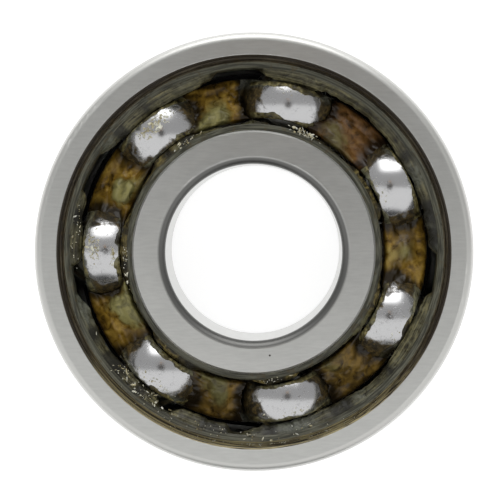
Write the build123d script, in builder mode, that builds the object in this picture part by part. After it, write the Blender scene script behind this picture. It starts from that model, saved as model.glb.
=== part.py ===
from build123d import *
import os
from math import asin, cos, radians, sin

# Deep groove ball bearing, open at the front and closed by a rubber seal at the rear.
#
# Millimetres. The bearing's axis is +Z, the open side faces +Z, and the origin is on the axis in the plane of the
# ball centres, which is halfway between the two side faces.
#
#   outer ring   raceway inside, and a seat for a seal near each face
#   inner ring   bore, raceway outside, and a recess for a seal's lip near each face
#   balls        one in each pocket of the cage, running in both raceways
#   cage         two pressed steel ribbons, back to back, riveted together between the pockets
#   rear seal    rubber washer moulded over a steel insert, snapped into the outer ring's rear seat
#   grease       one pad on the cage's front between each two balls

# ---- driving dimensions ----

BORE_DIAMETER = 25.0
OUTSIDE_DIAMETER = 62.0
WIDTH = 17.0
CORNER_RADIUS = 1.1  # on the bore's and the outside's edges

BALL_COUNT = 7
BALL_DIAMETER = 11.5
FIRST_BALL_ANGLE = 25.6  # degrees from +X towards +Y

RACEWAY_CLEARANCE = 0.03  # between a centred ball and the bottom of each raceway
RACEWAY_RADIUS_EXCESS = 0.23  # the groove's section is this much rounder than the ball
INNER_SHOULDER_HEIGHT = 2.2  # from the bottom of the raceway to the shoulder
OUTER_SHOULDER_HEIGHT = 1.5
EDGE_BREAK = 0.25  # chamfer on the turned edges

SEAT_DEPTH = 1.6  # along the axis, from each face to the seal seats and lip recesses
LIP_RECESS_HEIGHT = 1.0  # the lip recess lies this far below the inner ring's shoulder
SEAT_MOUTH_HEIGHT = 1.6  # the seat's mouth lies this far outside the outer ring's shoulder
SEAT_GROOVE_DEPTH = 0.6  # the groove behind the mouth is cut this much further out
SEAT_LIP_WIDTH = 0.6  # along the axis, the lip that holds the seal
SEAT_LIP_SLOPE = 0.3  # along the axis, the groove's slanted side
SEAT_LAND_WIDTH = 0.8  # radially, the flat land next to the shoulder that the seal rests on
SEAT_RELIEF_DEPTH = 0.5  # along the axis, the groove's floor lies this far below the land

CAGE_SHEET = 0.8
POCKET_CLEARANCE = 0.15  # between a ball and its pocket
RIBBON_CLEARANCE = 0.48  # between the inner ring's shoulder and the ribbon's flats
CROWN_INSET = 0.7  # each side of the ribbon is drawn in this far where a pocket is highest
POCKET_BEND_RADIUS = 0.6  # where a pocket rises out of the flat

RIVET_DIAMETER = 1.6
RIVET_HOLE_CLEARANCE = 0.03
RIVET_HEAD_DIAMETER = 3.0
RIVET_HEAD_HEIGHT = 0.8

SEAL_THICKNESS = 1.2
SEAL_GAP = 0.05  # between the bead and the groove, and between the lip and the inner ring
SEAL_LIP_WIDTH = 0.3  # at the tip
SEAL_LIP_RISE = 0.7  # along the axis, from the seal's inner face to the tip
SEAL_LIP_REACH = 1.6  # radially, the thin part next to the inner ring
SEAL_DISH_DEPTH = 0.2  # shallow ring pressed into the seal's outer face
SEAL_DISH_MARGIN = 2.2  # from the seal's rims to the dish
INSERT_THICKNESS = 0.4
INSERT_MARGIN = 0.9  # rubber outside and inside the insert
INSERT_FLANGE = 0.25  # the insert's outer edge is bent this far inwards, for grip

GREASE_HEIGHT = 2.4  # above the cage's flats
GREASE_RING_GAP = 0.35  # to the inner ring's shoulder
GREASE_DRAFT = 12.0  # degrees, how much its sides lean in

# ---- sizes that follow ----

bore_radius = BORE_DIAMETER / 2
outside_radius = OUTSIDE_DIAMETER / 2
face = WIDTH / 2
seat = face - SEAT_DEPTH

ball_radius = BALL_DIAMETER / 2
pitch_radius = (bore_radius + outside_radius) / 2  # the balls run midway between the bore and the outside
groove_radius = ball_radius + RACEWAY_RADIUS_EXCESS

inner_raceway_radius = pitch_radius - ball_radius - RACEWAY_CLEARANCE
inner_shoulder_radius = inner_raceway_radius + INNER_SHOULDER_HEIGHT
lip_recess_radius = inner_shoulder_radius - LIP_RECESS_HEIGHT

outer_raceway_radius = pitch_radius + ball_radius + RACEWAY_CLEARANCE
outer_shoulder_radius = outer_raceway_radius - OUTER_SHOULDER_HEIGHT
seat_mouth_radius = outer_shoulder_radius + SEAT_MOUTH_HEIGHT
seat_groove_radius = seat_mouth_radius + SEAT_GROOVE_DEPTH
seat_land_radius = outer_shoulder_radius + SEAT_LAND_WIDTH

pocket_radius = ball_radius + POCKET_CLEARANCE
cup_radius = pocket_radius + CAGE_SHEET
ribbon_half_width = pitch_radius - inner_shoulder_radius - RIBBON_CLEARANCE
ribbon_inner_radius = pitch_radius - ribbon_half_width
ribbon_outer_radius = pitch_radius + ribbon_half_width
crown_half_width = ribbon_half_width - CROWN_INSET

ball_step = 360 / BALL_COUNT
ball_angles = [FIRST_BALL_ANGLE + ball_step * k for k in range(BALL_COUNT)]
bay_angles = [angle + ball_step / 2 for angle in ball_angles]


def on_pitch_circle(angle):
    """Point on the pitch circle at an angle in degrees."""
    return (pitch_radius * cos(radians(angle)), pitch_radius * sin(radians(angle)), 0)


def upright_plane(angle):
    """Plane through the pitch circle at an angle: local X points outwards and local Y is the bearing's axis."""
    outwards = (cos(radians(angle)), sin(radians(angle)), 0)
    sideways = (sin(radians(angle)), -cos(radians(angle)), 0)
    return Plane(origin=on_pitch_circle(angle), x_dir=outwards, z_dir=sideways)


os.makedirs("parts", exist_ok=True)

# ---- outer ring: its section, with X as the radius and Y along the axis, turned about the axis ----

with BuildPart() as outer_ring:
    with BuildSketch(Plane.XZ) as section:
        with Locations(((outer_shoulder_radius + outside_radius) / 2, 0)):
            Rectangle(outside_radius - outer_shoulder_radius, WIDTH)
        with Locations((outer_raceway_radius - groove_radius, 0)):
            Circle(groove_radius, mode=Mode.SUBTRACT)
        for side in (1, -1):
            with BuildLine():
                Polyline(
                    (outer_shoulder_radius - EDGE_BREAK, side * (face + EDGE_BREAK)),
                    (seat_mouth_radius + EDGE_BREAK, side * (face + EDGE_BREAK)),
                    (seat_mouth_radius + EDGE_BREAK, side * face),
                    (seat_mouth_radius, side * (face - EDGE_BREAK)),
                    (seat_mouth_radius, side * (face - SEAT_LIP_WIDTH)),
                    (seat_groove_radius, side * (face - SEAT_LIP_WIDTH - SEAT_LIP_SLOPE)),
                    (seat_groove_radius, side * (seat - SEAT_RELIEF_DEPTH)),
                    (seat_land_radius + EDGE_BREAK + SEAT_RELIEF_DEPTH / 2, side * (seat - SEAT_RELIEF_DEPTH)),
                    (seat_land_radius + EDGE_BREAK, side * (seat - EDGE_BREAK / 2)),
                    (seat_land_radius, side * seat),
                    (outer_shoulder_radius + EDGE_BREAK, side * seat),
                    (outer_shoulder_radius - EDGE_BREAK, side * (seat - 2 * EDGE_BREAK)),
                    close=True,
                )
            make_face(mode=Mode.SUBTRACT)
        fillet(section.vertices().group_by(Axis.X)[-1], CORNER_RADIUS)
    revolve(axis=Axis.Z)

# ---- inner ring ----

with BuildPart() as inner_ring:
    with BuildSketch(Plane.XZ) as section:
        with Locations(((bore_radius + inner_shoulder_radius) / 2, 0)):
            Rectangle(inner_shoulder_radius - bore_radius, WIDTH)
        with Locations((inner_raceway_radius + groove_radius, 0)):
            Circle(groove_radius, mode=Mode.SUBTRACT)
        for side in (1, -1):
            with BuildLine():
                Polyline(
                    (inner_shoulder_radius + EDGE_BREAK, side * (face + EDGE_BREAK)),
                    (lip_recess_radius - EDGE_BREAK, side * (face + EDGE_BREAK)),
                    (lip_recess_radius - EDGE_BREAK, side * face),
                    (lip_recess_radius, side * (face - EDGE_BREAK)),
                    (lip_recess_radius, side * seat),
                    (inner_shoulder_radius - EDGE_BREAK, side * seat),
                    (inner_shoulder_radius + EDGE_BREAK, side * (seat - 2 * EDGE_BREAK)),
                    close=True,
                )
            make_face(mode=Mode.SUBTRACT)
        fillet(section.vertices().group_by(Axis.X)[0], CORNER_RADIUS)
    revolve(axis=Axis.Z)

# ---- balls ----

balls = []
for angle in ball_angles:
    with BuildPart() as ball:
        with Locations(on_pitch_circle(angle)):
            Sphere(ball_radius)
    balls.append(ball)

# ---- cage: a flat ribbon with round cups pressed out of it, trimmed to the ribbon's width ----

with BuildPart() as cage_front:
    with BuildSketch(Plane.XY):
        Circle(ribbon_outer_radius)
        Circle(ribbon_inner_radius, mode=Mode.SUBTRACT)
    extrude(amount=CAGE_SHEET)
    with PolarLocations(pitch_radius, BALL_COUNT, start_angle=FIRST_BALL_ANGLE):
        Sphere(cup_radius)
    bends = cage_front.edges().filter_by(GeomType.CIRCLE).filter_by_position(Axis.Z, CAGE_SHEET, CAGE_SHEET)
    fillet(bends.filter_by(lambda edge: edge.radius < cup_radius), POCKET_BEND_RADIUS)
    with BuildSketch(Plane.XZ):
        with BuildLine():
            Polyline(
                (ribbon_inner_radius, 0),
                (ribbon_outer_radius, 0),
                (ribbon_outer_radius, CAGE_SHEET),
                (pitch_radius + crown_half_width, cup_radius),
                (pitch_radius + crown_half_width, cup_radius + CAGE_SHEET),
                (pitch_radius - crown_half_width, cup_radius + CAGE_SHEET),
                (pitch_radius - crown_half_width, cup_radius),
                (ribbon_inner_radius, CAGE_SHEET),
                close=True,
            )
        make_face()
    revolve(axis=Axis.Z, mode=Mode.INTERSECT)
    with PolarLocations(pitch_radius, BALL_COUNT, start_angle=FIRST_BALL_ANGLE):
        Sphere(pocket_radius, mode=Mode.SUBTRACT)
    with PolarLocations(pitch_radius, BALL_COUNT, start_angle=bay_angles[0]):
        Hole(RIVET_DIAMETER / 2 + RIVET_HOLE_CLEARANCE)

with BuildPart() as cage_rear:
    mirror(cage_front.part, about=Plane.XY)

# ---- rivets: one in each bay between two pockets, with a domed head on each side of the cage ----

head_radius = RIVET_HEAD_DIAMETER / 2
dome_radius = (head_radius**2 + RIVET_HEAD_HEIGHT**2) / (2 * RIVET_HEAD_HEIGHT)
dome_centre = CAGE_SHEET + RIVET_HEAD_HEIGHT - dome_radius
dome_half_angle = asin(head_radius / dome_radius) / 2
dome_middle = (dome_radius * sin(dome_half_angle), dome_centre + dome_radius * cos(dome_half_angle))

rivets = []
for angle in bay_angles:
    with BuildPart() as rivet:
        with BuildSketch(upright_plane(angle)):
            with BuildLine():
                Polyline(
                    (0, CAGE_SHEET + RIVET_HEAD_HEIGHT),
                    (0, 0),
                    (RIVET_DIAMETER / 2, 0),
                    (RIVET_DIAMETER / 2, CAGE_SHEET),
                    (head_radius, CAGE_SHEET),
                )
                ThreePointArc((head_radius, CAGE_SHEET), dome_middle, (0, CAGE_SHEET + RIVET_HEAD_HEIGHT))
            make_face()
        revolve(axis=Axis(on_pitch_circle(angle), (0, 0, 1)))
        mirror(about=Plane.XY)
    rivets.append(rivet)

# ---- rear seal: a steel insert, and the rubber moulded around it ----

seal_inside = -seat
seal_outside = seal_inside - SEAL_THICKNESS
bead_radius = seat_groove_radius - SEAL_GAP
lip_radius = lip_recess_radius + SEAL_GAP
lip_root_radius = lip_radius + SEAL_LIP_REACH
lip_tip = seal_inside - SEAL_LIP_RISE
insert_middle = (seal_inside + seal_outside) / 2
insert_inner_radius = lip_root_radius + INSERT_MARGIN / 2
insert_outer_radius = seat_mouth_radius - INSERT_MARGIN

with BuildPart() as rear_seal_insert:
    with BuildSketch(Plane.XZ):
        with BuildLine():
            Polyline(
                (insert_inner_radius, insert_middle - INSERT_THICKNESS / 2),
                (insert_outer_radius, insert_middle - INSERT_THICKNESS / 2),
                (insert_outer_radius, insert_middle + INSERT_THICKNESS / 2 + INSERT_FLANGE),
                (insert_outer_radius - INSERT_THICKNESS, insert_middle + INSERT_THICKNESS / 2 + INSERT_FLANGE),
                (insert_outer_radius - INSERT_THICKNESS, insert_middle + INSERT_THICKNESS / 2),
                (insert_inner_radius, insert_middle + INSERT_THICKNESS / 2),
                close=True,
            )
        make_face()
    revolve(axis=Axis.Z)

with BuildPart() as rear_seal:
    with BuildSketch(Plane.XZ):
        with BuildLine():
            Polyline(
                (lip_radius, lip_tip),
                (lip_radius, lip_tip - SEAL_LIP_WIDTH),
                (lip_root_radius, seal_outside),
                (lip_root_radius + SEAL_DISH_MARGIN, seal_outside),
                (lip_root_radius + SEAL_DISH_MARGIN + SEAL_DISH_DEPTH, seal_outside + SEAL_DISH_DEPTH),
                (seat_mouth_radius - SEAL_DISH_MARGIN - SEAL_DISH_DEPTH, seal_outside + SEAL_DISH_DEPTH),
                (seat_mouth_radius - SEAL_DISH_MARGIN, seal_outside),
                (seat_mouth_radius - SEAL_GAP - SEAT_LIP_SLOPE, seal_outside),
                (seat_mouth_radius - SEAL_GAP, seal_outside + SEAT_LIP_SLOPE),
                (seat_mouth_radius - SEAL_GAP, SEAT_LIP_WIDTH + SEAL_GAP - face),
                (bead_radius, SEAT_LIP_WIDTH + SEAT_LIP_SLOPE + SEAL_GAP - face),
                (bead_radius, seal_inside),
                (lip_root_radius, seal_inside),
                close=True,
            )
        make_face()
    revolve(axis=Axis.Z)
    add(rear_seal_insert.part, mode=Mode.SUBTRACT)

# ---- grease: a pad on the cage's front flat in each bay, packed around the rivet's head, clear of the bends ----

grease_pads = []
for angle, rivet in zip(bay_angles, rivets):
    with BuildPart() as grease_pad:
        with BuildSketch(Plane.XY.offset(CAGE_SHEET)):
            Circle(ribbon_outer_radius)
            Circle(inner_shoulder_radius + GREASE_RING_GAP, mode=Mode.SUBTRACT)
            with PolarLocations(pitch_radius, 1, start_angle=angle):
                Rectangle(2 * pitch_radius, 2 * pitch_radius * sin(radians(ball_step / 2)), mode=Mode.INTERSECT)
        extrude(amount=GREASE_HEIGHT, taper=GREASE_DRAFT)
        with PolarLocations(pitch_radius, BALL_COUNT, start_angle=FIRST_BALL_ANGLE):
            Sphere(cup_radius + POCKET_BEND_RADIUS, mode=Mode.SUBTRACT)
        add(rivet.part, mode=Mode.SUBTRACT)
    grease_pads.append(grease_pad)

# ---- names and files ----

named_parts = {
    "outer_ring": outer_ring,
    "inner_ring": inner_ring,
    "cage_front": cage_front,
    "cage_rear": cage_rear,
    "rear_seal": rear_seal,
    "rear_seal_insert": rear_seal_insert,
}
for number, (ball, rivet, grease_pad) in enumerate(zip(balls, rivets, grease_pads), start=1):
    named_parts[f"ball_{number}"] = ball
    named_parts[f"rivet_{number}"] = rivet
    named_parts[f"grease_{number}"] = grease_pad

for name, piece in named_parts.items():
    piece.part.label = name
    export_step(piece.part, f"parts/{name}.step")
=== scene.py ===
"""Looks of a greased deep groove ball bearing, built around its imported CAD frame.

Metres. The bearing's axis is +Z, its open side faces +Z, and it lies on its rear face. Lengths written in millimetres
are multiplied by MM. Rings, balls, cage, rivets and seal are the CAD nodes with new finishes. All grease is made here.
"""

import logging
from abc import ABC, abstractmethod
from dataclasses import dataclass, field
from enum import Enum
from typing import Any

import bmesh
import bpy
import numpy as np
from mathutils import Matrix, Vector


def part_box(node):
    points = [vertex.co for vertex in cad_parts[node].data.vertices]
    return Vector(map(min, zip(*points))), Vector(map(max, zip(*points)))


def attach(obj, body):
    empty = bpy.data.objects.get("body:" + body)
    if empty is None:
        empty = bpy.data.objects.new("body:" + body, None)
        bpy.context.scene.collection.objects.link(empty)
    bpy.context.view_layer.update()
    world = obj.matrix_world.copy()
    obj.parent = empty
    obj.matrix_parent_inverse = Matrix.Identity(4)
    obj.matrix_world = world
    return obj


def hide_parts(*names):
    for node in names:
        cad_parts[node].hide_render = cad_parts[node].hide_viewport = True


MM = 0.001
LOG = logging.getLogger("bearing")
Colour = tuple[float, float, float]
Array = np.ndarray

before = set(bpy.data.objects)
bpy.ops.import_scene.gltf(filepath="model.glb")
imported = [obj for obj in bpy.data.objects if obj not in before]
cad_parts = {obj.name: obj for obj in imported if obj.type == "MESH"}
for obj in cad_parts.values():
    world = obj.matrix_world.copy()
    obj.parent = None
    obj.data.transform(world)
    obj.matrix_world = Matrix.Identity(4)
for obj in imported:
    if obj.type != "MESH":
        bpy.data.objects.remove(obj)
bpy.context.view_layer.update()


class Body(Enum):
    """The moving bodies that new pieces ride on."""

    OUTER = "outer"
    INNER = "inner"
    CAGE = "cage"


# ---- sizes read from the frame ----


def radial_reach(node: str) -> tuple[float, float]:
    """Nearest and furthest distance of a CAD node's vertices from the axis.

    Args:
        node: Name of the CAD node.

    Returns:
        The least and the greatest radius, in metres.
    """
    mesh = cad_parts[node].data
    points = np.empty(len(mesh.vertices) * 3)
    mesh.vertices.foreach_get("co", points)
    radius = np.hypot(points[0::3], points[1::3])
    return float(radius.min()), float(radius.max())


@dataclass(frozen=True)
class Sizes:
    """The bearing's main sizes, in metres and radians, as the frame gives them."""

    outside: float
    face: float  # height of the front faces
    outer_shoulder: float
    inner_shoulder: float
    bore: float
    pitch: float
    cup: float  # radius of a cup's outer sphere
    ribbon_outer: float  # the cage's outer radius
    flat_top: float  # height of the cage's flats
    first_angle: float  # of the first ball
    balls: int  # how many
    step: float  # angle from one ball to the next

    @classmethod
    def from_frame(cls) -> "Sizes":
        """Measures the CAD nodes."""
        low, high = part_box("ball_1")
        centre = (low + high) / 2
        balls = sum(name.startswith("ball_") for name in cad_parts)
        return cls(
            outside=radial_reach("outer_ring")[1],
            face=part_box("outer_ring")[1].z,
            outer_shoulder=radial_reach("outer_ring")[0],
            inner_shoulder=radial_reach("inner_ring")[1],
            bore=radial_reach("inner_ring")[0],
            pitch=float(np.hypot(centre.x, centre.y)),
            cup=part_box("cage_front")[1].z,
            ribbon_outer=radial_reach("cage_front")[1],
            flat_top=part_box("grease_1")[0].z,
            first_angle=float(np.arctan2(centre.y, centre.x)),
            balls=balls,
            step=2 * np.pi / balls,
        )


SIZES = Sizes.from_frame()


# ---- shader expressions ----


class Wire:
    """A node's output that Python expressions can be written with. Each operator adds one Math node."""

    def __init__(self, tree: "Tree", socket: bpy.types.NodeSocket | None) -> None:
        """Wraps a socket of a tree."""
        self.tree = tree
        self.socket = socket

    def math(self, operation: str, *others: Any) -> "Wire":
        """One Math node with this value first.

        Args:
            operation: The Math node's operation.
            others: The other operands, wires or numbers.

        Returns:
            The node's result.
        """
        return self.tree.math(operation, self, *others)

    def __add__(self, other: Any) -> "Wire":
        """Sum."""
        return self.math("ADD", other)

    __radd__ = __add__

    def __mul__(self, other: Any) -> "Wire":
        """Product."""
        return self.math("MULTIPLY", other)

    __rmul__ = __mul__

    def __sub__(self, other: Any) -> "Wire":
        """Difference."""
        return self.math("SUBTRACT", other)

    def __rsub__(self, other: Any) -> "Wire":
        """Difference with this value second."""
        return self.tree.math("SUBTRACT", other, self)

    def __truediv__(self, other: Any) -> "Wire":
        """Quotient."""
        return self.math("DIVIDE", other)

    def __abs__(self) -> "Wire":
        """Absolute value."""
        return self.math("ABSOLUTE")

    def rise(self, start: float, end: float) -> "Wire":
        """Smooth step.

        Args:
            start: Value where the result is 0.
            end: Value where the result is 1, which may be below start.

        Returns:
            A mask from 0 to 1.
        """
        low, high = min(start, end), max(start, end)
        settings = {"interpolation_type": "SMOOTHSTEP"}
        inputs = {"Value": self, "From Min": low, "From Max": high}
        step = self.tree.node("ShaderNodeMapRange", settings, inputs)
        return step if end > start else 1 - step


class Tree:
    """One node tree. Every node but the operators' Math nodes comes from its node method."""

    def __init__(self, owner: bpy.types.Material | bpy.types.World) -> None:
        """Empties the owner's node tree."""
        owner.use_nodes = True
        self.nodes = owner.node_tree.nodes
        self.links = owner.node_tree.links
        self.nodes.clear()

    def node(self, kind: str, settings: dict | None = None, inputs: dict | None = None, output: int = 0) -> Wire:
        """Adds one node.

        Args:
            kind: The node's type.
            settings: Its properties, set first; "stops" is a colour ramp's list of (position, colour).
            inputs: Values or wires by input name or number.
            output: Which output to return.

        Returns:
            The chosen output.
        """
        made = self.nodes.new(kind)
        for name, value in (settings or {}).items():
            if name == "stops":
                self._set_stops(made.color_ramp, value)
            else:
                setattr(made, name, value)
        for name, value in (inputs or {}).items():
            self._feed(made.inputs[name], value)
        return Wire(self, made.outputs[output] if len(made.outputs) else None)

    def _set_stops(self, ramp: bpy.types.ColorRamp, stops: list[tuple[float, Colour]]) -> None:
        """Gives a ramp exactly these stops."""
        while len(ramp.elements) < len(stops):
            ramp.elements.new(1.0)
        for element, (position, colour) in zip(ramp.elements, stops):
            element.position = position
            element.color = (*colour, 1.0)

    def _feed(self, socket: bpy.types.NodeSocket, value: Any) -> None:
        """Links a wire to an input, or sets a constant on it."""
        if isinstance(value, Wire):
            self.links.new(value.socket, socket)
        elif isinstance(value, tuple) and socket.type == "RGBA":
            socket.default_value = (*value, 1.0)
        else:
            socket.default_value = value

    def math(self, operation: str, *operands: Any) -> Wire:
        """One Math node with wires or numbers as operands."""
        return self.node("ShaderNodeMath", {"operation": operation}, dict(enumerate(operands)))

    def mix(self, factor: Any, first: Any, second: Any) -> Wire:
        """Colour that goes from first to second as factor goes from 0 to 1."""
        return self.node("ShaderNodeMix", {"data_type": "RGBA"}, {0: factor, 6: first, 7: second}, output=2)

    def blend(self, factor: Any, first: Any, second: Any) -> Wire:
        """Number that goes from first to second as factor goes from 0 to 1."""
        return self.node("ShaderNodeMix", {"data_type": "FLOAT"}, {0: factor, 2: first, 3: second})

    def vector(self, x: Any, y: Any, z: Any) -> Wire:
        """Vector of three values."""
        return self.node("ShaderNodeCombineXYZ", None, {0: x, 1: y, 2: z})

    def noise(self, at: Wire, scale: float, detail: float = 3.0, distortion: float = 0.0) -> Wire:
        """Cloudy noise from 0 to 1 at a position."""
        inputs = {"Vector": at, "Scale": scale, "Detail": detail, "Distortion": distortion}
        return self.node("ShaderNodeTexNoise", None, inputs)

    def position(self) -> Wire:
        """Object coordinates, in millimetres."""
        raw = self.node("ShaderNodeTexCoord", output=3)
        return self.node("ShaderNodeVectorMath", {"operation": "SCALE"}, {0: raw, "Scale": 1 / MM})

    def split(self, at: Wire) -> tuple[Wire, Wire, Wire]:
        """X, Y and Z of a vector."""
        made = self.node("ShaderNodeSeparateXYZ", None, {0: at})
        outputs = made.socket.node.outputs
        return Wire(self, outputs[0]), Wire(self, outputs[1]), Wire(self, outputs[2])

    def bump(self, height: Wire, distance: float, strength: float = 1.0) -> Wire:
        """Normal of a surface raised by height times distance, in metres."""
        return self.node("ShaderNodeBump", None, {"Height": height, "Distance": distance, "Strength": strength})


@dataclass(frozen=True)
class Polar:
    """A surface point in the bearing's own coordinates: radius and height in millimetres, and angle in radians."""

    radius: Wire
    angle: Wire
    height: Wire
    swept: Wire

    @classmethod
    def of(cls, tree: Tree) -> "Polar":
        """Adds the nodes that work the coordinates out.

        The swept position has the radius and the height as they are, and turns the angle into a slow third axis, so
        that noise read there is drawn out into lines around the axis, as turning and grinding leave them.
        """
        x, y, z = tree.split(tree.position())
        radius = (x * x + y * y).math("SQRT")
        angle = tree.math("ARCTAN2", y, x)
        swept = tree.vector(radius, angle.math("COSINE") + angle.math("SINE") * 1.7, z)
        return cls(radius, angle, z, swept)


# ---- finishes ----


def scaled(colour: Colour, factor: float) -> Colour:
    """A colour with each of its parts times a factor."""
    return tuple(factor * part for part in colour)


class Finish(ABC):
    """A material with one Principled shader. Each kind of finish says what goes into it."""

    name: str

    @abstractmethod
    def inputs(self, tree: Tree, at: Wire) -> dict[str, Any]:
        """The shader's inputs by name, from the material's tree and object coordinates in millimetres."""

    def build(self) -> bpy.types.Material:
        """Makes the material."""
        material = bpy.data.materials.new(self.name)
        tree = Tree(material)
        shader = tree.node("ShaderNodeBsdfPrincipled", None, self.inputs(tree, tree.position()))
        tree.node("ShaderNodeOutputMaterial", None, {"Surface": shader})
        return material


@dataclass(frozen=True)
class PlainFinish(Finish):
    """One matt colour, which may glow white."""

    name: str
    colour: Colour
    roughness: float
    glow: float = 0.0

    def inputs(self, tree: Tree, at: Wire) -> dict[str, Any]:
        """Constants only."""
        white = (1.0, 1.0, 1.0)
        colours = {"Base Color": self.colour, "Emission Color": white}
        return colours | {"Roughness": self.roughness, "Emission Strength": self.glow}


@dataclass(frozen=True)
class RingSteel(Finish):
    """Ground bearing steel, with a turned corner and the grease film that clings to one ring's running side."""

    name: str
    film_from: float  # millimetres, the film's dry edge
    film_side: int  # 1 if the film lies outside that radius, -1 if inside
    ridge: float  # millimetres, radius of a ridge in the film, along which runs a paler line, partly painted highlight, and beyond which it is dark, partly painted shade
    corner: tuple[float, float]  # millimetres, radii between which the turned corner fades in
    corner_steel: Colour
    steel: Colour = (0.615, 0.618, 0.600)
    # near black: the nick's pit, dark grease beyond the ridge, and painted shade in the seal seat's groove and at its
    # mouth
    film_pit_and_shade_black: Colour = (0.030, 0.021, 0.011)
    film_wall: Colour = (0.135, 0.110, 0.068)
    film_dark: Colour = (0.030, 0.029, 0.018)
    film_light: Colour = (0.135, 0.134, 0.095)
    film_brown: Colour = (0.080, 0.055, 0.018)
    debris: Colour = (0.44, 0.37, 0.19)
    nick: tuple[float, float] = (0.0, 0.0)  # millimetres, where a small dark pit in the face lies, if any

    def inputs(self, tree: Tree, at: Wire) -> dict[str, Any]:
        """Ground faces and turned walls, with the film's streaks over them.

        Grinding lines are noise drawn out along X, and turning lines noise drawn out around the axis. The film covers
        the front half of the ring's running side in streaks. Beyond a ridge it is dark, greasy and partly painted shade
        in the seal seat's groove, with a painted shadow line in near black at the seat's mouth. Along the ridge runs a
        paler line that is partly painted highlight on its edge and partly grease wiped thin.
        """
        polar = Polar.of(tree)
        x, y, z = tree.split(at)
        ground = tree.noise(tree.vector(x * 0.25, y * 1.6, z), 2.2, 4.0)
        lines = tree.noise(polar.swept, 9.0, 4.0)
        cloud = tree.noise(at, 0.30, 4.0)
        streaks = tree.noise(polar.swept, 4.2, 5.0, 0.4)
        blots = tree.noise(at, 0.9, 5.0, 0.8)
        texture = ground * 0.36 + lines * 0.10 + cloud * 0.14 + 0.70
        steel = tree.mix(texture.rise(0.86, 1.14), scaled(self.steel, 0.92), scaled(self.steel, 1.04))
        away = ((x - self.nick[0]) * (x - self.nick[0]) + (y - self.nick[1]) * (y - self.nick[1])).math("SQRT")
        steel = tree.mix((away + cloud * 0.2).rise(0.28, 0.16), steel, self.film_pit_and_shade_black)
        turned = polar.radius.rise(*self.corner) * abs(polar.height).rise(7.25, 7.5)
        steel = tree.mix(turned, steel, self.corner_steel)
        film = ((polar.radius - self.film_from) * self.film_side).rise(-0.02, 0.10) * polar.height.rise(-1.0, 0.5)
        grime = tree.mix(streaks.rise(0.36, 0.68), self.film_dark, self.film_light)
        grime = tree.mix(blots.rise(0.54, 0.72) * 0.6, grime, self.film_brown)
        beyond = (polar.radius + streaks * 0.25 - 0.12).rise(self.ridge, self.ridge + 0.15)
        # beyond the ridge, in the seal seat's groove: dark greasy streaks that are partly painted shade, and at the
        # seat's mouth a painted shadow line in near black
        rim = polar.radius.rise(self.film_from - 0.40, self.film_from - 0.25)
        wall = tree.mix(streaks.rise(0.40, 0.60), self.film_pit_and_shade_black, self.film_wall)
        wall = tree.mix(rim, tree.mix(blots.rise(0.5, 0.75), wall, self.film_brown), self.film_pit_and_shade_black)
        grime = tree.mix(beyond, grime, wall)
        low = (y / polar.radius).rise(-0.45, -0.80) * tree.noise(polar.swept, 5.0, 4.0, 0.5).rise(0.43, 0.55)
        grime = tree.mix(low * beyond * 0.85, grime, self.debris)
        # a paler line along the ridge, partly painted highlight on its edge and partly grease wiped thin
        wiped = abs(polar.radius - self.ridge).rise(0.11, 0.03) * blots.rise(0.30, 0.55)
        colour = tree.mix(film, steel, tree.mix(wiped * 0.6, grime, (0.24, 0.23, 0.17)))
        roughness = tree.blend(film, texture * 0.10 + turned * 0.12 + 0.19, streaks * 0.3 + 0.24)
        height = tree.blend(film, lines * 0.03, blots * 0.8 + streaks * 0.5)
        return {
            "Base Color": colour,
            "Metallic": tree.blend(film, 1.0, 0.05),
            "Roughness": roughness,
            "Normal": tree.bump(height, 0.00012),
        }


@dataclass(frozen=True)
class PolishedSteel(Finish):
    """Mirror-bright steel of the balls, or plain steel of the rivets and the seal's insert."""

    name: str
    steel: Colour
    roughness: float
    waviness: float = 0.0

    def inputs(self, tree: Tree, at: Wire) -> dict[str, Any]:
        """Faint clouds in the gloss, and a little unevenness in the surface."""
        cloud = tree.noise(at, 0.8, 4.0)
        grain = tree.noise(at, 14.0, 3.0)
        return {
            "Base Color": tree.mix(cloud, self.steel, scaled(self.steel, 0.88)),
            "Metallic": 1.0,
            "Roughness": cloud * 0.08 + grain * 0.05 + self.roughness,
            "Normal": tree.bump(grain + cloud * 2.0, 0.00001 + self.waviness),
        }


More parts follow.
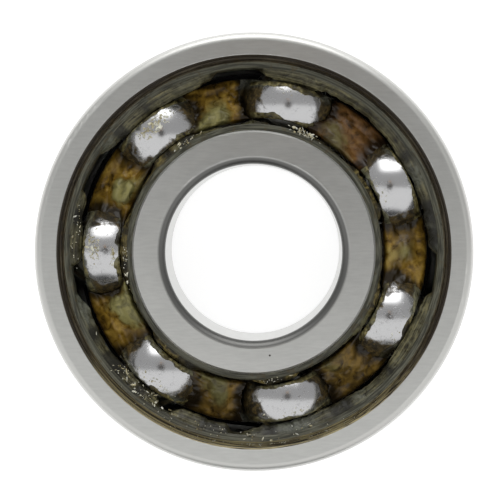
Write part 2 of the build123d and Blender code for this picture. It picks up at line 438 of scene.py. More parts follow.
@dataclass(frozen=True)
class CageSteel(Finish):
    """Bright pressed steel strip whose cups stand clean out of old grease."""

    name: str = "cage_steel_finish"
    steel: Colour = (0.61, 0.61, 0.62)
    # near black grime, partly painted shade on the cups' ends and lower walls beside the pads
    black: Colour = (0.022, 0.017, 0.008)
    dirt: Colour = (0.100, 0.070, 0.024)
    smear: Colour = (0.150, 0.150, 0.110)
    clean_length: float = 4.55  # millimetres, half the clean patch along the pitch circle
    clean_width: float = 2.60  # millimetres, half the clean patch across it

    def inputs(self, tree: Tree, at: Wire) -> dict[str, Any]:
        """Clean steel on each cup, and dark grime everywhere else, which on the cups' ends and lower walls beside the
        pads is partly painted shade.

        Position in a cup is how far a point is along the pitch circle from the nearest cup's middle, and how far it is
        from the pitch circle. The clean patch is where the cubes of the two, each over its half size, add up to less
        than one. Noise makes its border uneven and lays thin smears over it.
        """
        polar = Polar.of(tree)
        turns = (polar.angle - SIZES.first_angle) / SIZES.step + 0.5
        along = abs(turns.math("FRACT") - 0.5) * SIZES.step * polar.radius
        across = abs(polar.radius - SIZES.pitch / MM)
        reach = (along / self.clean_length).math("POWER", 3.0) + (across / self.clean_width).math("POWER", 3.0)
        ragged = tree.noise(at, 0.55, 6.0, 0.6)
        wisps = tree.noise(at, 2.2, 6.0, 1.4)
        border = tree.noise(at, 0.42, 2.0, 0.6)
        # the clean patch stops low on the cups; below it the grime is partly painted shade beside the pads
        clean = (reach + (border - 0.5) * 2.1 + (wisps - 0.5) * 0.40).rise(1.06, 0.62) * polar.height.rise(2.6, 3.6)
        haze = wisps.rise(0.50, 0.72) * ragged.rise(0.42, 0.60)
        specks = tree.noise(at, 3.2, 3.0).rise(0.68, 0.74) * ragged.rise(0.45, 0.58)
        steel = tree.mix(haze * 0.45, self.steel, scaled(self.steel, 0.6))
        steel = tree.mix(specks * 0.8, steel, self.dirt)
        # grime from near black to brown, partly painted shade at the cups' ends
        brown = tree.mix((ragged * 0.6 + wisps * 0.4).rise(0.45, 0.64), self.black, self.dirt)
        blotch = tree.noise(at, 0.8, 4.0, 1.8).rise(0.48, 0.66)
        brown = tree.mix(blotch * 0.7, brown, scaled(self.dirt, 1.5))
        green = tree.mix(wisps.rise(0.34, 0.62), scaled(self.smear, 0.3), self.smear)
        outward = (polar.radius - SIZES.pitch / MM + ragged * 1.2 - 0.6).rise(1.3, 2.3)
        grime = tree.mix(outward, brown, green)
        relief = tree.blend(clean, wisps * 0.9 + ragged * 0.6 - 0.75, ragged * 0.05 + haze * 0.04)
        return {
            "Base Color": tree.mix(clean, grime, steel),
            "Metallic": tree.blend(clean, 0.1, 1.0),
            "Roughness": tree.blend(clean, wisps * 0.25 + 0.22, haze * 0.14 + 0.19),
            "Normal": tree.bump(relief, 0.00018),
        }


@dataclass(frozen=True)
class SealRubber(Finish):
    """Matt black moulded rubber with faint turned lines from its mould."""

    name: str = "seal_rubber_finish"
    rubber: Colour = (0.020, 0.020, 0.021)

    def inputs(self, tree: Tree, at: Wire) -> dict[str, Any]:
        """Mould lines around the axis, fine grain, and pale dust in patches."""
        polar = Polar.of(tree)
        lines = tree.noise(polar.swept, 5.0, 2.0)
        grain = tree.noise(at, 9.0, 5.0)
        dust = tree.noise(at, 0.5, 5.0).rise(0.5, 0.8)
        return {
            "Base Color": tree.mix(dust * 0.3 + grain * 0.15, self.rubber, (0.060, 0.058, 0.054)),
            "Roughness": grain * 0.25 + 0.42,
            "Normal": tree.bump(lines * 0.7 + grain * 0.5, 0.00005),
        }


@dataclass(frozen=True)
class Grease(Finish):
    """Used grease: wet and smoothly mottled, darkened by a shade attribute that on the bay pads is painted shade.

    The pieces carry two attributes on their points: tone goes from 0, amber, to 1, khaki, and shade from 0 to 1,
    nearly black: painted shade on the bay pads, darker towards the cups, and dark fouling at random on the skins and
    collars.
    """

    name: str
    dark: Colour
    brown: Colour
    amber: Colour
    gold: Colour
    khaki: Colour
    grain: float = 1.0  # how fine the mottling is
    swept: float = 0.0  # share of the mottling that is drawn out around the axis
    relief: float = 0.038  # millimetres
    contrast: float = 1.25  # how far the patches' colours lie apart

    def inputs(self, tree: Tree, at: Wire) -> dict[str, Any]:
        """Flowing patches from brown to gold, khaki over them, finer mottling and a wet skin."""
        tone = tree.node("ShaderNodeAttribute", {"attribute_name": "tone"}, output=2)
        shade = tree.node("ShaderNodeAttribute", {"attribute_name": "shade"}, output=2)
        flow = tree.noise(at, 0.42 * self.grain, 3.0, 1.5)
        mottle = tree.noise(at, 0.80 * self.grain, 3.0, 0.8)
        lines = tree.noise(Polar.of(tree).swept, 2.4 * self.grain, 4.0, 0.6)
        mixed = (tree.blend(self.swept, flow * 0.6 + mottle * 0.4, lines) - 0.5) * self.contrast + 0.5
        stops = [(0.28, self.dark), (0.39, self.brown), (0.52, self.amber), (0.69, self.gold)]
        warm = tree.node("ShaderNodeValToRGB", {"stops": stops}, {0: mixed})
        pale = tree.mix(mottle.rise(0.36, 0.64), scaled(self.khaki, 0.50), self.khaki)
        colour = tree.mix((tone + mottle * 0.7 - 0.35).rise(0.25, 0.95), warm, pale)
        # shade attribute: painted shade on the bay pads, random dark fouling on the skins and collars
        colour = tree.mix((shade + flow * 0.7 - 0.35).rise(0.20, 0.90), colour, self.dark)
        return {
            "Base Color": colour,
            "Roughness": mottle * 0.35 + 0.14,
            "IOR": 1.40,
            "Normal": tree.bump(mottle * 0.8 + mixed * 0.4, self.relief * MM),
        }


# ---- surfaces ----


class LatticeNoise:
    """Seeded noise: random values on a cubic lattice, blended along each axis with a smooth step."""

    SIDE = 32

    def __init__(self, seed: int) -> None:
        """Draws the lattice's values."""
        self.table = np.random.default_rng(seed).uniform(-1, 1, (self.SIDE,) * 3)

    def sample(self, points: Array) -> Array:
        """Noise from -1 to 1.

        Args:
            points: Positions with three numbers in the last axis, one lattice cell to a unit.

        Returns:
            One value for each point.
        """
        cell = np.floor(points).astype(int)
        part = points - cell
        part = part * part * (3 - 2 * part)
        total = np.zeros(points.shape[:-1])
        for corner in np.ndindex(2, 2, 2):
            index = (cell + corner) % self.SIDE
            weight = np.where(np.array(corner) == 1, part, 1 - part).prod(-1)
            total += weight * self.table[index[..., 0], index[..., 1], index[..., 2]]
        return total

    def fractal(self, points: Array, octaves: int = 4) -> Array:
        """Sum of noises, each twice as fine and half as strong as the one before."""
        return sum(self.sample(points * 2**k + 7.3 * k) / 2**k for k in range(octaves))

    def mark(self, points: Array, middle: Array | float, swing: float) -> Array:
        """Values from 0 to 1, for a point attribute, that wander to each side of a middle."""
        return np.clip(middle + swing * self.fractal(points, 3), 0, 1)


def polar_points(radius: Array, angle: Array, height: Array) -> Array:
    """Positions at a radius, an angle from +X and a height, as whole arrays."""
    return np.stack([radius * np.cos(angle), radius * np.sin(angle), height], -1)


def full_turn(count: int) -> Array:
    """Angles evenly spread over one turn."""
    return np.linspace(0, 2 * np.pi, count, endpoint=False)


def cup_height(radius: Array, turn: Array, lowest: float) -> Array:
    """Height of a cup's outer sphere, at a radius and an angle from the cup's middle, or the lowest if that is more."""
    away = radius**2 + SIZES.pitch**2 - 2 * radius * SIZES.pitch * np.cos(turn)
    return np.sqrt(np.maximum(SIZES.cup**2 - away, lowest**2))


def along_and_out(rows: int, columns: int) -> tuple[Array, Array]:
    """Grids of two coordinates: along, from -1 to 1 down the rows, and out, from 0 to 1 across the columns."""
    return np.meshgrid(np.linspace(-1, 1, rows), np.linspace(0, 1, columns), indexing="ij")


def grid_faces(rows: int, columns: int, wrap_rows: bool = False, wrap_columns: bool = False) -> Array:
    """Quads between neighbouring points of a grid whose points are numbered row by row.

    Args:
        rows: Number of rows.
        columns: Number of columns.
        wrap_rows: Joins the last row to the first.
        wrap_columns: Joins the last column to the first.

    Returns:
        Four point numbers for each quad.
    """
    i, j = np.indices((rows - (not wrap_rows), columns - (not wrap_columns))).reshape(2, -1)
    below, beside = (i + 1) % rows, (j + 1) % columns
    return np.stack([i * columns + j, below * columns + j, below * columns + beside, i * columns + beside], -1)


def add_mesh(name: str, points: Array, faces: Array, marks: dict[str, Array] | None = None) -> bpy.types.Object:
    """Makes a smooth-shaded mesh object with outward normals.

    Args:
        name: The object's name.
        points: Positions, three numbers each.
        faces: Point numbers, four for each quad.
        marks: Values for point attributes, by name.

    Returns:
        The new object, at the origin.
    """
    mesh = bpy.data.meshes.new(name)
    mesh.from_pydata(points.reshape(-1, 3), [], faces)
    for mark, values in (marks or {}).items():
        attribute = mesh.attributes.new(mark, "FLOAT", "POINT")
        attribute.data.foreach_set("value", values.ravel().astype(np.float32))
    work = bmesh.new()
    work.from_mesh(mesh)
    bmesh.ops.recalc_face_normals(work, faces=work.faces)
    work.to_mesh(mesh)
    work.free()
    mesh.polygons.foreach_set("use_smooth", np.ones(len(mesh.polygons), bool))
    made = bpy.data.objects.new(name, mesh)
    bpy.context.scene.collection.objects.link(made)
    return made


def add_shell(name: str, top: Array, bottom: Array, marks: dict[str, Array]) -> bpy.types.Object:
    """Makes a closed piece from an upper and a lower grid of the same shape, joined around their outlines.

    Args:
        name: The object's name.
        top: Upper grid of positions.
        bottom: Lower grid of positions.
        marks: Values for point attributes, one grid each, used for both sides.

    Returns:
        The new object.
    """
    rows, columns = top.shape[:2]
    count = rows * columns
    number = np.arange(count).reshape(rows, columns)
    outline = np.concatenate([number[0, :-1], number[:-1, -1], number[-1, :0:-1], number[:0:-1, 0]])
    after = np.roll(outline, -1)
    faces = np.concatenate(
        [
            grid_faces(rows, columns),
            grid_faces(rows, columns)[:, ::-1] + count,
            np.stack([outline, after, after + count, outline + count], -1),
        ]
    )
    both = {mark: np.concatenate([values.ravel(), values.ravel()]) for mark, values in marks.items()}
    return add_mesh(name, np.concatenate([top.reshape(-1, 3), bottom.reshape(-1, 3)]), faces, both)


def dress(piece: bpy.types.Object, material: bpy.types.Material) -> None:
    """Gives a piece one material."""
    piece.data.materials.clear()
    piece.data.materials.append(material)


def repaint(node: str, material: bpy.types.Material) -> None:
    """Gives a CAD node a finish without changing its mesh."""
    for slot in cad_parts[node].material_slots:
        slot.material = material


def place(piece: bpy.types.Object, body: Body, material: bpy.types.Material) -> None:
    """Dresses a new piece and lets it ride on a body.

    Args:
        piece: The new piece.
        body: The body that it moves with.
        material: Its finish.
    """
    dress(piece, material)
    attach(piece, body.value)
    LOG.info("built %s on %s", piece.name, body.value)


# ---- the bearing's sub-assemblies ----


@dataclass
class Rings:
    """The outer and inner ring, which are CAD nodes with ground and greased finishes."""

    mouth: float = 1.6 * MM  # the seal seat's mouth lies this far outside the outer shoulder
    land: float = 0.82 * MM  # from the outer shoulder to the seat's ridge
    recess: float = 1.0 * MM  # the lip recess lies this far inside the inner shoulder
    corner: float = 1.1 * MM  # radius of the rings' turned corners
    no_ridge: float = 9.0  # millimetres, past the inner ring's shoulder, so that its film has no ridge

    def dress(self) -> None:
        """Paints both rings."""
        mouth = (SIZES.outer_shoulder + self.mouth) / MM
        ridge = (SIZES.outer_shoulder + self.land) / MM
        rim = SIZES.outside / MM
        corner = (rim - self.corner / MM - 0.1, rim - self.corner / MM + 0.2)
        outer = RingSteel("outer_ring_finish", mouth + 0.24, -1, ridge, corner, (0.66, 0.66, 0.64))
        repaint("outer_ring", outer.build())
        edge = (SIZES.inner_shoulder - self.recess) / MM
        bore = SIZES.bore / MM
        corner = (bore + self.corner / MM + 0.05, bore + self.corner / MM - 0.35)
        inner = RingSteel(
            "inner_ring_finish",
            edge + 0.02,
            1,
            edge + self.no_ridge,
            corner,
            corner_steel=(0.17, 0.17, 0.165),
            steel=(0.665, 0.668, 0.65),
            nick=(2.3, -14.5),
        )
        repaint("inner_ring", inner.build())
        LOG.info("dressed the rings")


@dataclass
class RollingSet:
    """Balls, cage halves and rivets, which are CAD nodes."""

    def dress(self) -> None:
        """Paints each piece."""
        ball = PolishedSteel("ball_steel_finish", (0.82, 0.82, 0.83), 0.05).build()
        rivet = PolishedSteel("rivet_steel_finish", (0.60, 0.58, 0.54), 0.25, 0.00002).build()
        cage = CageSteel().build()
        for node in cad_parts:
            if node.startswith("ball_"):
                repaint(node, ball)
            elif node.startswith("rivet_"):
                repaint(node, rivet)
            elif node.startswith("cage_"):
                repaint(node, cage)
        LOG.info("dressed the balls, the cage and the rivets")


@dataclass
class RearSeal:
    """The rubber seal and its steel insert, which are CAD nodes."""

    def dress(self) -> None:
        """Paints both pieces."""
        repaint("rear_seal", SealRubber().build())
        repaint("rear_seal_insert", PolishedSteel("insert_steel_finish", (0.5, 0.5, 0.5), 0.3).build())
        LOG.info("dressed the rear seal")


@dataclass(frozen=True)
class Lump:
    """A rounded rise on a grease pad, in the pad's own coordinates.

    along runs from -1 to 1 across the bay, against the clock first, and out from 0 at the inner ring to 1 outside.
    """

    along: float
    out: float
    size: float
    rise: float  # millimetres
    tone: float
    squareness: float = 2.2

    def weight(self, along: Array, out: Array) -> Array:
        """How much of the lump is at each point: 1 in its middle, and falling off past its size."""
        reach = (np.abs(along - self.along) ** 2 + (1.6 * (out - self.out)) ** 2) / self.size**2
        return np.exp(-(reach ** (self.squareness / 2)))


class Age(Enum):
    """How far a bay's grease has gone off."""

    FRESH = "amber and gold"
    RED = "fouled with rust"
    BROWN = "dark brown and olive"


@dataclass(frozen=True)
class BayLook:
    """How the grease in one bay between two cups looks."""

    start: float  # share of the way to the cup on the clockwise side, from 0 to 1
    end: float  # the same on the other side
    thick: float  # millimetres, at the outside
    lean: float  # millimetres, how much thicker it is at the inner ring
    lumps: tuple[Lump, ...]
    age: Age = Age.FRESH


@dataclass
class BayGrease:
    """The pads of grease on the cage between the cups."""

    inner_gap: float = 0.35 * MM  # to the inner ring's shoulder
    wall_depth: float = 0.3 * MM  # how far into the cup's wall the pad's side lies
    outer_reach: float = 0.05 * MM  # past the ribbon's outer edge
    root: float = 0.1 * MM  # how far under the cage's flat the pad's underside lies
    rows: int = 120
    columns: int = 110
    looks: tuple[BayLook, ...] = (
        BayLook(1.00, 0.85, 2.2, 1.6, (Lump(0.1, 0.12, 0.55, 0.8, 0.8), Lump(0.7, 0.40, 0.5, 0.5, 0.6)), Age.RED),
        BayLook(0.62, 1.00, 1.8, 2.0, (Lump(0.1, 0.25, 0.60, 1.0, 0.9), Lump(0.5, 0.05, 0.5, 0.5, 0.7))),
        BayLook(0.95, 0.95, 1.6, 2.2, (Lump(0.1, 0.38, 0.48, 1.1, 1.1, 4.4), Lump(-0.4, 0.05, 0.5, 0.5, 0.7))),
        BayLook(0.85, 0.95, 1.7, 2.0, (Lump(-0.5, 0.30, 0.65, 1.1, 1.0), Lump(0.2, 0.05, 0.5, 0.5, 0.7))),
        BayLook(0.95, 0.68, 1.6, 2.0, (Lump(-0.3, 0.10, 0.6, 0.8, 0.7), Lump(-0.1, 0.45, 0.45, 0.6, 0.6)), Age.BROWN),
        BayLook(0.85, 0.95, 1.8, 1.9, (Lump(-0.35, 0.15, 0.6, 0.9, 0.7), Lump(0.3, 0.6, 0.45, 0.5, 0.3)), Age.BROWN),
        BayLook(0.95, 0.95, 2.0, 1.4, (Lump(0.1, 0.55, 0.40, 0.8, 0.7), Lump(-0.2, 0.1, 0.5, 0.5, 0.5))),
    )

    def build(self) -> None:
        """Builds one pad in each bay, in place of its plain CAD solid."""
        finish = Grease(
            name="bay_grease_finish",
            dark=(0.020, 0.013, 0.004),
            brown=(0.092, 0.052, 0.008),
            amber=(0.235, 0.138, 0.018),
            gold=(0.440, 0.285, 0.055),
            khaki=(0.300, 0.272, 0.100),
        )
        red = Grease(
            name="bay_grease_red_finish",
            dark=(0.022, 0.012, 0.005),
            brown=(0.080, 0.040, 0.012),
            amber=(0.172, 0.082, 0.024),
            gold=(0.260, 0.148, 0.048),
            khaki=(0.150, 0.125, 0.048),
        )
        brown = Grease(
            name="bay_grease_brown_finish",
            dark=(0.018, 0.012, 0.005),
            brown=(0.062, 0.038, 0.010),
            amber=(0.150, 0.092, 0.019),
            gold=(0.310, 0.190, 0.040),
            khaki=(0.185, 0.168, 0.064),
        )
        finishes = {Age.FRESH: finish.build(), Age.RED: red.build(), Age.BROWN: brown.build()}
        for number, look in enumerate(self.looks, start=1):
            pad = self.pad(number, look)
            place(pad, Body.CAGE, finishes[look.age])
            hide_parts(f"grease_{number}")

    def side_angle(self, radius: Array, height: Array) -> Array:
        """Half the angle between the walls of the two cups beside a bay, at a radius and a height.

        In the plane of that height a cup is a circle round its ball's centre. The side angle is half the step between
        two balls, less the angle at the axis of the triangle whose sides are the radius, the pitch radius and the
        circle's radius.
        """
        wall = SIZES.cup - self.wall_depth
        circle = wall**2 - np.minimum(height, 0.85 * wall) ** 2
        cosine = (radius**2 + SIZES.pitch**2 - circle) / (2 * radius * SIZES.pitch)
        return SIZES.step / 2 - np.arccos(np.clip(cosine, -1, 1))

    def pad(self, number: int, look: BayLook) -> bpy.types.Object:
        """Builds one pad.

        The pad's top is a height over a grid of along, across the bay, and out, away from the inner ring. The height
        is a slope, plus lumps, plus noise, climbs at the cups as the fifth power of along, and falls to the cage's
        flat at the rings. Its sides follow the cups' walls from that height down to the flat.
        """
        noise = LatticeNoise(100 + number)
        along, out = along_and_out(self.rows, self.columns)
        inner = SIZES.inner_shoulder + self.inner_gap
        outer = SIZES.ribbon_outer + self.outer_reach
        middle = SIZES.first_angle + SIZES.step * (number - 0.5)
        share = np.where(along < 0, look.start, look.end)
        flat = np.stack([along * 2.4, out * 6.0, np.full_like(out, number * 3.1)], -1)
        rough = noise.fractal(flat * 0.55, 3)
        weights = [lump.weight(along + 0.25 * rough, out + 0.1 * rough) for lump in look.lumps]
        rise = sum(lump.rise * weight for lump, weight in zip(look.lumps, weights))
        edge = np.clip(1 - np.abs(2 * out - 1) ** 14, 0, 1) ** 0.5
        climb = np.abs(along) ** 5 * (0.9 + 0.9 * noise.fractal(flat * 0.7 + 60, 3)) - 0.5 * np.abs(along) ** 2
        thickness = (look.thick + look.lean * (1 - out) ** 1.5 + rise + 0.40 * rough + climb) * edge * MM
        height = SIZES.flat_top + np.maximum(thickness, 0.0)
        radius = inner + (outer - inner) * out
        reach = self.side_angle(radius, height) * share
        top = polar_points(radius, middle + along * reach, height)
        floor = np.full_like(radius, SIZES.flat_top - self.root)
        bottom = polar_points(radius, middle + along * self.side_angle(radius, floor) * share, floor)
        tone = np.clip(sum(lump.tone * weight for lump, weight in zip(look.lumps, weights)), 0, 1)
        # painted shade: darker towards the cups on both sides of the pad, where shade falls between them
        shade = noise.mark(flat * 0.5 + 90, np.abs(along) ** 2.2 * 1.1, 0.40)
        return add_shell(f"bay_grease_{number}", top, bottom, {"tone": tone, "shade": shade})


class Flank(Enum):
    """The two long sides of a cup's crown."""

    OUTER = 1
    INNER = -1


@dataclass
class CupGrease:
    """Thin skins of grease over the cups' flanks, where they run on into the grease on the rings."""

    overhang: float = 0.20 * MM  # past the edge of the crown
    crown: float = 2.42 * MM  # half the crown's width
    width: float = 1.9 * MM  # of the strip that a skin may cover
    half_turn: float = 15.5  # degrees that it reaches to each side of a cup's middle
    thickness: float = 0.26 * MM
    depth: float = 0.35 * MM  # from the cup's surface to a skin's underside, which lies in the steel
    lowest: float = 1.2 * MM  # least height of the surface that a skin follows
    rows: int = 100
    columns: int = 34

    def build(self) -> None:
        """Builds both skins of each cup."""
        finish = Grease(
            name="cup_grease_finish",
            dark=(0.018, 0.015, 0.008),
            brown=(0.058, 0.046, 0.016),
            amber=(0.120, 0.103, 0.040),
            gold=(0.300, 0.255, 0.110),
            khaki=(0.175, 0.175, 0.115),
            grain=1.5,
            relief=0.10,
            contrast=1.8,
        ).build()
        for number in range(1, SIZES.balls + 1):
            for flank in Flank:
                place(self.skin(number, flank), Body.CAGE, finish)

    def skin(self, number: int, flank: Flank) -> bpy.types.Object:
        """Builds one skin.

        The grid runs along the cup and out from the pitch circle's side to just past the crown's edge. Its height is
        the cup's sphere, plus the thickness times a cover that goes from below 0, hidden in the steel, to 1 over a
        wandering line, and back below 0 at the cup's ends.
        """
        noise = LatticeNoise(200 + 10 * number + flank.value)
        along, out = along_and_out(self.rows, self.columns)
        turn = np.radians(self.half_turn) * along
        radius = SIZES.pitch + flank.value * (self.crown + self.overhang - self.width * (1 - out))
        sphere = cup_height(radius, turn, self.lowest)
        flat = np.stack([along * 3.0, out * 1.1, np.full_like(out, number * 2.7 + flank.value)], -1)
        rough = noise.fractal(flat * 0.9, 4)
        line = 0.74 - 0.30 * along**2 + 0.26 * rough
        cover = np.clip((out - line) / 0.22, 0, 1)
        cover = cover * cover * (3 - 2 * cover) * (1 - np.abs(along) ** 8)
        grain = 0.35 * noise.fractal(flat * 4 + 30, 2)
        lift = (cover * (1.5 + grain) - 0.5 - 0.5 * out**12) * self.thickness
        angle = SIZES.first_angle + SIZES.step * (number - 1) + turn
        top = polar_points(radius, angle, sphere + lift)
        bottom = polar_points(radius, angle, sphere - self.depth)
        marks = {"tone": noise.mark(flat * 0.6 + 70, 0.45, 0.7), "shade": noise.mark(flat * 0.8 + 110, 0.25, 0.7)}
        return add_shell(f"cup_grease_{flank.name.lower()}_{number}", top, bottom, marks)


@dataclass
class RingGrease:
    """Grease left on the two rings: a ragged collar inside the outer ring, and one around the inner ring.

    A collar's heights are those of its underside and of its top next to the ring.
    """

    turns: int = 900
    around: int = 28
    outer_cling: float = 0.62 * MM  # the outer collar starts this far outside the outer shoulder
    outer_stop: float = 0.40 * MM  # and ends this far inside the cage's outer edge
    outer_heights: tuple[float, float] = (5.45 * MM, 7.00 * MM)
    inner_cling: float = 0.80 * MM  # the inner collar starts this far inside the inner shoulder
    inner_stop: float = 2.70 * MM  # and ends this far short of the pitch circle
    inner_heights: tuple[float, float] = (5.75 * MM, 7.10 * MM)
    looks: dict[str, tuple[tuple[float, float, float], ...]] = field(
        default_factory=lambda: {
            # middle and half width in degrees, and depth from 0 to 1, of the places where a collar has broken away
            "outer": ((153, 6.5, 1.0), (191, 5.5, 1.0), (353, 6.5, 1.0), (96, 6, 0.8), (241, 4, 0.8), (266, 3, 0.7)),
            "inner": ((7, 5, 0.8), (265, 4, 0.9), (77, 8, 0.9), (216, 4, 0.6), (297, 5, 0.7)),
        }
    )

    def breaks(self, angle: Array, name: str) -> Array:
        """How much of a collar is missing at each angle, as rounded steps about the places listed."""
        ragged = LatticeNoise(31).fractal(np.stack([np.cos(angle), np.sin(angle), angle * 0], -1) * 9, 3)
        angle = angle + np.radians(3.5) * ragged
        missing = np.zeros_like(angle)
        for middle, half, depth in self.looks[name]:
            away = np.abs((np.degrees(angle) - middle + 180) % 360 - 180)
            missing = np.maximum(missing, depth / (1 + (away / half) ** 4))
        return missing

    def collar(
        self, name: str, seed: int, base: float, reach: float, low: float, high: float, wiped: float
    ) -> bpy.types.Object:
        """Builds a closed ring with a flattened, uneven section.

        Args:
            name: Which ring it lies on, outer or inner.
            seed: Seed of its unevenness.
            base: Radius where it clings to the ring.
            reach: Radius that it reaches to where it is widest.
            low: Height of its underside.
            high: Height of its top next to the ring.
            wiped: How much narrower it is in the bays than beside the cups, as half a share of its width.

        Returns:
            The new piece. Its section is a flat oval: radius is a cosine and height a sine of the section's angle,
            and both follow noise around the ring.
        """
        noise = LatticeNoise(seed)
        angle, section = np.meshgrid(full_turn(self.turns), full_turn(self.around), indexing="ij")
        circle = np.stack([np.cos(angle), np.sin(angle), section * 0], -1)
        waves = np.cos((angle - SIZES.first_angle) * 2 * np.pi / SIZES.step)
        ragged = 0.16 * noise.fractal(circle * 7, 4) + 0.05 * noise.fractal(circle * 34, 3)
        wide = np.clip(1 - wiped + wiped * waves + ragged, 0.12, 1.0) * (1 - 0.92 * self.breaks(angle, name))
        end = base + (reach - base) * np.maximum(wide, 0.06)
        blend = (1 - np.cos(section)) / 2
        rough = noise.fractal(np.stack([13 * np.cos(angle), 13 * np.sin(angle), blend * 2 + np.sin(section)], -1), 4)
        radius = base + (end - base) * blend
        lift = np.sign(np.sin(section)) * np.abs(np.sin(section)) ** 0.7
        middle, half = (low + high) / 2, (high - low) / 2
        height = middle - 0.95 * half * blend**1.5 + lift * half * (1 - 0.62 * blend) + rough * 0.11 * MM * blend
        tone = noise.mark(circle * 4 + 20, 0.35 - wiped * waves, 0.7)
        shade = noise.mark(circle * 9 + 50, 0.20, 0.9)
        points = polar_points(radius, angle, height)
        faces = grid_faces(self.turns, self.around, True, True)
        return add_mesh(f"{name}_ring_grease", points, faces, {"tone": tone, "shade": shade})

    def build(self) -> None:
        """Builds both collars."""
        green = Grease(
            name="outer_ring_grease_finish",
            dark=(0.014, 0.013, 0.008),
            brown=(0.046, 0.039, 0.017),
            amber=(0.085, 0.080, 0.046),
            gold=(0.180, 0.160, 0.080),
            khaki=(0.125, 0.130, 0.100),
            grain=1.5,
            swept=0.6,
            relief=0.10,
            contrast=1.8,
        )
        olive = Grease(
            name="inner_ring_grease_finish",
            dark=(0.016, 0.014, 0.008),
            brown=(0.034, 0.027, 0.010),
            amber=(0.084, 0.066, 0.024),
            gold=(0.190, 0.150, 0.052),
            khaki=(0.135, 0.128, 0.068),
            grain=1.6,
            swept=0.3,
            relief=0.12,
            contrast=2.6,
        )
        base, reach = SIZES.outer_shoulder + self.outer_cling, SIZES.ribbon_outer - self.outer_stop
        outer = self.collar("outer", 11, base, reach, *self.outer_heights, wiped=0.06)
        base, reach = SIZES.inner_shoulder - self.inner_cling, SIZES.pitch - self.inner_stop
        inner = self.collar("inner", 12, base, reach, *self.inner_heights, wiped=0.26)
        place(outer, Body.OUTER, green.build())
        place(inner, Body.INNER, olive.build())


@dataclass(frozen=True)
class Scatter:
    """A place where crumbs of grease lie, in degrees and millimetres."""

    angle: float
    angle_spread: float
    radius: float
    radius_spread: float
    count: int
    coarse: float = 1.0  # how large its largest crumbs are


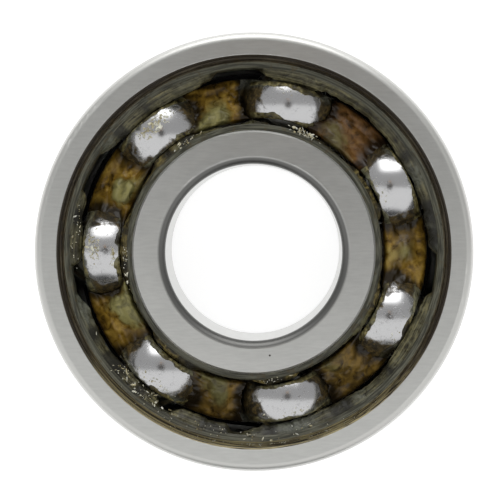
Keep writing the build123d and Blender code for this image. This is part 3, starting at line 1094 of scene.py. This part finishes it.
@dataclass
class Crumbs:
    """Pale crumbs of grease beside the cups and in the bottom of the seal's seat, whose near-white colour is partly
    painted glint.
    """

    smallest: float = 0.05 * MM
    largest: float = 0.34 * MM
    rings: int = 6
    spokes: int = 8
    inner_bed: float = 7.0 * MM  # height of the inner collar's top
    land_bed: float = 6.92 * MM  # height of the outer ring's land and collar
    seat_bed: float = 6.45 * MM  # height of the seal seat's floor
    seat_from: float = 26.83 * MM  # radius where that floor starts
    lowest_bed: float = 4.0 * MM  # least height of a crumb on a cup
    cap: float = 0.02  # radians from a crumb's poles to its flat ends
    flattest: float = 0.11 * MM  # the most that a crumb's two short half lengths may be
    places: dict[Body, tuple[Scatter, ...]] = field(
        default_factory=lambda: {
            Body.CAGE: (
                Scatter(127.5, 7.0, 22.8, 0.9, 95, 1.8),
                Scatter(177.5, 6.5, 22.9, 0.9, 80, 1.7),
                Scatter(182.0, 4.0, 20.1, 0.4, 16, 1.5),
                Scatter(232.0, 9.0, 23.2, 0.6, 30),
                Scatter(285.0, 8.0, 23.3, 0.5, 18),
                Scatter(330.0, 7.0, 23.3, 0.6, 12),
                Scatter(28.0, 8.0, 20.1, 0.4, 16),
                Scatter(78.0, 8.0, 23.3, 0.5, 12),
            ),
            Body.OUTER: (
                Scatter(272.0, 34.0, 27.15, 0.35, 150),
                Scatter(262.0, 40.0, 26.0, 0.8, 50),
                Scatter(229.0, 14.0, 25.3, 0.8, 60, 1.3),
                Scatter(176.0, 12.0, 25.4, 0.6, 24),
            ),
            Body.INNER: (
                Scatter(67.0, 8.0, 18.3, 0.35, 44, 2.0),
                Scatter(122.0, 7.0, 18.3, 0.35, 26),
                Scatter(184.0, 12.0, 18.3, 0.35, 24),
                Scatter(276.0, 10.0, 18.3, 0.35, 14),
            ),
        }
    )

    def bed(self, body: Body, radius: Array, angle: Array) -> Array:
        """Height of the surface that crumbs lie on: a cup's sphere on the cage, or the top of a ring's collar."""
        if body is Body.INNER:
            return np.full_like(radius, self.inner_bed)
        if body is Body.OUTER:
            return np.where(radius > self.seat_from, self.seat_bed, self.land_bed)
        turn = (angle - SIZES.first_angle + SIZES.step / 2) % SIZES.step - SIZES.step / 2
        return cup_height(radius, turn, self.lowest_bed)

    def build(self) -> None:
        """Builds one piece of crumbs for each body."""
        # near-white colours: partly painted glints that stand in for sparkles of wet grease
        finish = Grease(
            name="crumb_painted_glint_finish",
            dark=(0.16, 0.13, 0.06),
            brown=(0.36, 0.30, 0.14),
            amber=(0.60, 0.56, 0.40),
            gold=(0.87, 0.85, 0.73),
            khaki=(0.84, 0.84, 0.74),
        ).build()
        for body, scatters in self.places.items():
            place(self.crumbs(body, scatters), body, finish)

    def crumbs(self, body: Body, scatters: tuple[Scatter, ...]) -> bpy.types.Object:
        """Builds all crumbs on one body.

        A crumb is a ball stretched along three axes and dented: its points are a sine and cosine of two angles times
        the three half lengths and one plus noise, turned about the vertical and set on its bed.
        """
        down = np.linspace(self.cap, np.pi - self.cap, self.rings)
        polar, around = np.meshgrid(down, full_turn(self.spokes), indexing="ij")
        ball = polar_points(np.sin(polar), around, np.cos(polar))
        draw = np.random.default_rng(len(body.value) + 70)
        angle = np.concatenate([np.radians(draw.normal(p.angle, p.angle_spread / 2, p.count)) for p in scatters])
        radius = np.concatenate([draw.uniform(-1, 1, p.count) * p.radius_spread + p.radius for p in scatters]) * MM
        count = len(angle)
        coarse = np.concatenate([np.full(p.count, p.coarse) for p in scatters])[:, None]
        lengths = self.smallest + (self.largest * coarse - self.smallest) * draw.uniform(0, 1, (count, 3)) ** 4
        lengths[:, 1:] = np.minimum(lengths[:, 1:], self.flattest * coarse)
        turn = (angle + draw.normal(np.pi / 2, 0.7, count))[:, None, None]
        dents = LatticeNoise(90).sample(ball[None] * 1.4 + draw.uniform(0, 30, (count, 3))[:, None, None, :])
        shape = ball[None] * lengths[:, None, None, :] * (1 + 0.5 * dents[..., None])
        x = shape[..., 0] * np.cos(turn) - shape[..., 1] * np.sin(turn)
        y = shape[..., 0] * np.sin(turn) + shape[..., 1] * np.cos(turn)
        centres = polar_points(radius, angle, self.bed(body, radius, angle))
        points = np.stack([x, y, shape[..., 2]], -1) + centres[:, None, None, :]
        size = self.rings * self.spokes
        starts = np.arange(count)[:, None] * size
        ends = [np.arange(self.spokes), np.arange(size - self.spokes, size)]
        sides = (grid_faces(self.rings, self.spokes, False, True)[None] + starts[:, :, None]).reshape(-1, 4)
        faces = [*sides, *(ends[0] + starts), *(ends[1] + starts)]
        tone = np.repeat(draw.uniform(0, 1, count), size)
        return add_mesh(f"{body.value}_crumbs", points, faces, {"tone": tone, "shade": np.zeros_like(tone)})


# ---- studio ----


@dataclass
class Studio:
    """A bright table, a soft sky that is white on one side and grey on the other, and the camera.

    The sky's levels are its strengths: overhead, towards -Y, in the bright band towards +Y, low down all round, and
    furthest towards -Y.
    """

    stand_off: float = 0.258  # from the front face to the camera
    offset: tuple[float, float] = (4.6 * MM, 7.9 * MM)  # the camera stands this far beside the axis
    aim: tuple[float, float] = (-0.49 * MM, 0.37 * MM)
    lens: float = 132.1
    shade_gap: float = 0.01  # from the camera to the discs behind it
    shade_sides: int = 48
    pinhole: float = 0.002  # radius
    table_side: float = 1.2
    table_glow: float = 0.86
    table_gap: float = 0.02 * MM  # under the rear faces
    overhead: float = 0.44
    south_side: float = 0.90
    north_band: float = 2.6
    low_down: float = 0.62
    far_south: float = 0.06

    def build(self) -> None:
        """Sets up the table, the sky, the camera, and what the bearing reflects of the camera and of a hand."""
        self.table()
        self.sky()
        self.camera()
        self.shade("camera_shade", 0.0, 0.040, (0.03, 0.025, 0.02))
        self.shade("hand_shade", 0.054, 0.012, (0.50, 0.26, 0.09))
        bpy.context.scene.view_settings.view_transform = "Standard"

    def table(self) -> None:
        """A plain pale table a hair's breadth under the rear faces, lit to near white."""
        half = self.table_side / 2
        x, y = np.meshgrid(np.linspace(-half, half, 9), np.linspace(-half, half, 9), indexing="ij")
        points = np.stack([x, y, np.full_like(x, -SIZES.face - self.table_gap)], -1)
        table = add_mesh("table", points, grid_faces(9, 9))
        dress(table, PlainFinish("table_finish", (0.35, 0.35, 0.35), 0.8, self.table_glow).build())

    def sky(self) -> None:
        """White towards -Y, grey overhead and towards +Y, and a bright band lower down towards +Y."""
        world = bpy.data.worlds.new("studio_sky")
        bpy.context.scene.world = world
        tree = Tree(world)
        x, y, z = tree.split(tree.node("ShaderNodeTexCoord"))
        south = (y + x * 0.02).rise(-0.005, -0.085)
        north = y.rise(0.50, 0.74) * abs(x).rise(0.55, 0.25)
        level = tree.blend(south, self.overhead, self.south_side)
        level = tree.blend(north, level, self.north_band)
        level = tree.blend(z.rise(0.22, 0.05), level, self.low_down)
        level = tree.blend(y.rise(-0.80, -0.93), level, self.far_south)
        background = tree.node("ShaderNodeBackground", None, {"Color": (1.0, 1.0, 0.99), "Strength": level})
        tree.node("ShaderNodeOutputWorld", None, {"Surface": background})

    def camera(self) -> None:
        """A camera above the front face, with +Y up in its view."""
        data = bpy.data.cameras.new("camera")
        data.lens = self.lens
        data.clip_start = 0.01
        camera = bpy.data.objects.new("camera", data)
        camera.location = (*self.offset, SIZES.face + self.stand_off)
        back = (camera.location - Vector((*self.aim, SIZES.face))).normalized()
        right = Vector((0, 1, 0)).cross(back).normalized()
        camera.rotation_euler = Matrix((right, back.cross(right), back)).transposed().to_euler()
        bpy.context.scene.collection.objects.link(camera)
        bpy.context.scene.camera = camera

    def shade(self, name: str, shift: float, radius: float, colour: Colour) -> None:
        """A matt disc behind or beside the camera, which only reflections show, with a pinhole in its middle.

        Args:
            name: The piece's name.
            shift: How far it lies towards +Y of the camera.
            radius: Its radius.
            colour: Its colour.
        """
        angle = full_turn(self.shade_sides)
        ring = np.stack([np.cos(angle), np.sin(angle)], -1)
        rim = np.concatenate([ring * r + self.offset + np.array([0, shift]) for r in (self.pinhole, radius)])
        points = np.column_stack([rim, np.full(len(rim), SIZES.face + self.stand_off + self.shade_gap)])
        disc = add_mesh(name, points, grid_faces(2, self.shade_sides, False, True))
        dress(disc, PlainFinish(f"{name}_finish", colour, 0.9).build())
        disc.visible_camera = False
        disc.visible_diffuse = False
        disc.visible_shadow = False


def main() -> None:
    """Builds every sub-assembly in order, then the studio."""
    logging.basicConfig(level=logging.INFO)
    Rings().dress()
    RollingSet().dress()
    RearSeal().dress()
    BayGrease().build()
    CupGrease().build()
    RingGrease().build()
    Crumbs().build()
    Studio().build()


if __name__ == "__main__":
    main()
